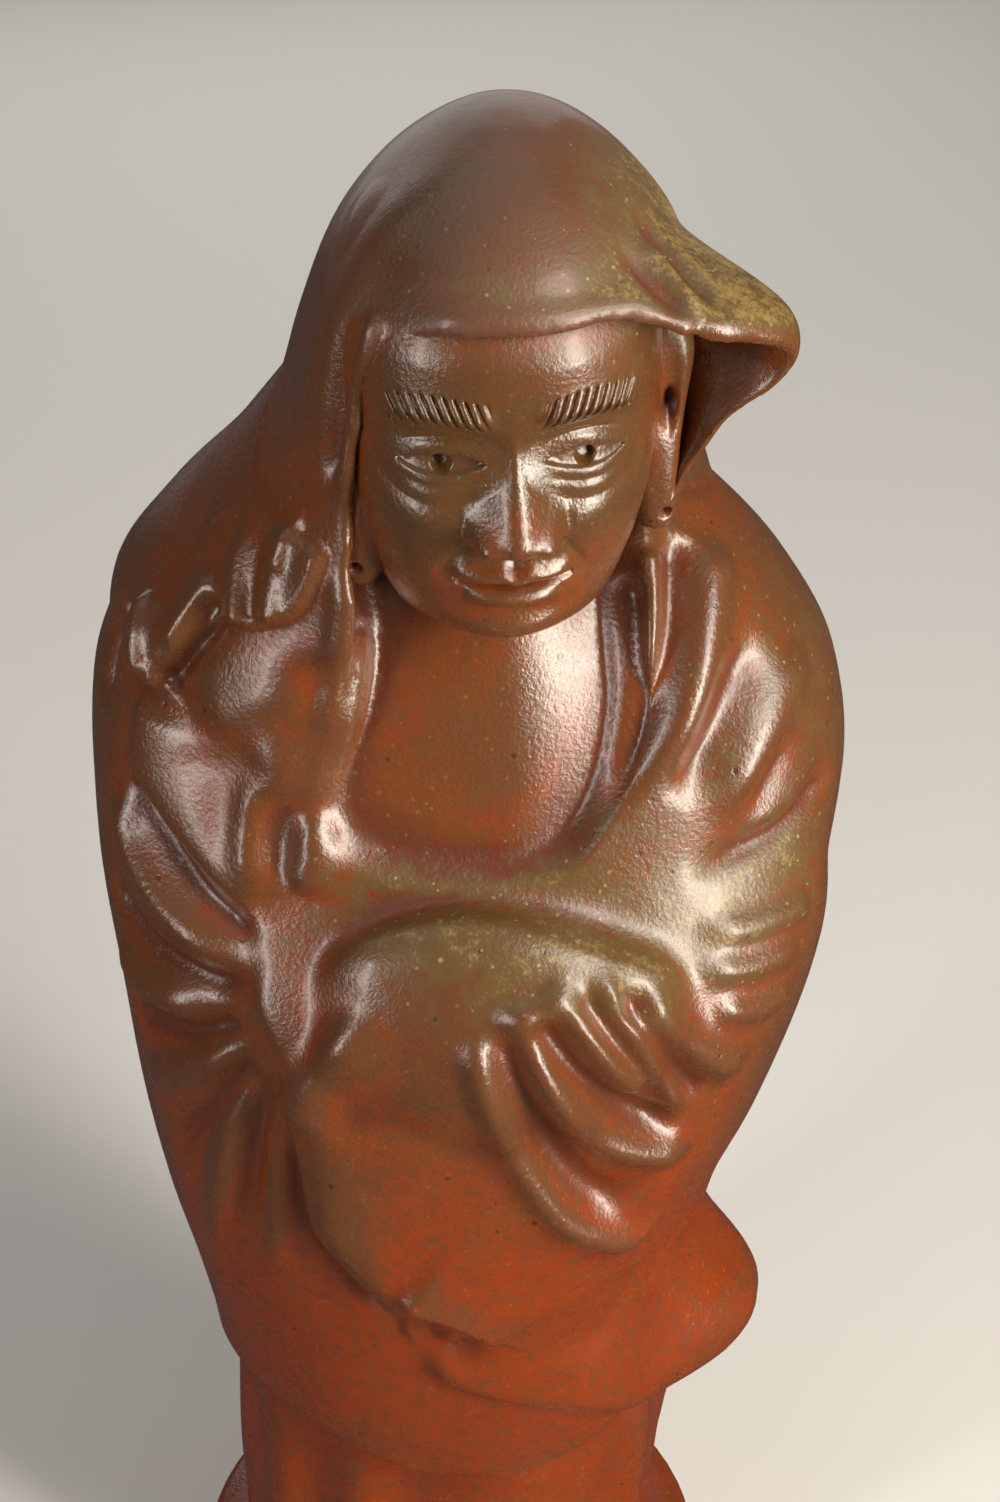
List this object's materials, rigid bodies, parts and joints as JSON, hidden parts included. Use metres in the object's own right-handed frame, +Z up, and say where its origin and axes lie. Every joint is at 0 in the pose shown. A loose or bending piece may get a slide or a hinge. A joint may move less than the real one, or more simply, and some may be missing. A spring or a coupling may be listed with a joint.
{
  "type": "bodhidharma statue",
  "caption": "Standing hooded sage with hands wrapped in a draped robe, on a low oval base: a decorative figure in unglazed stoneware that stands by its own weight.",
  "frame": {"origin": "centre of the flat underside of the base", "axes": "+Z up, -Y the way the figure faces, +X to the viewer's right from the front"},
  "size_m": [0.1263, 0.116, 0.3199],
  "materials": {
    "fired_clay": "satin"
  },
  "bodies": {
    "root": {"statue": "fired_clay"}
  },
  "joints": []
}
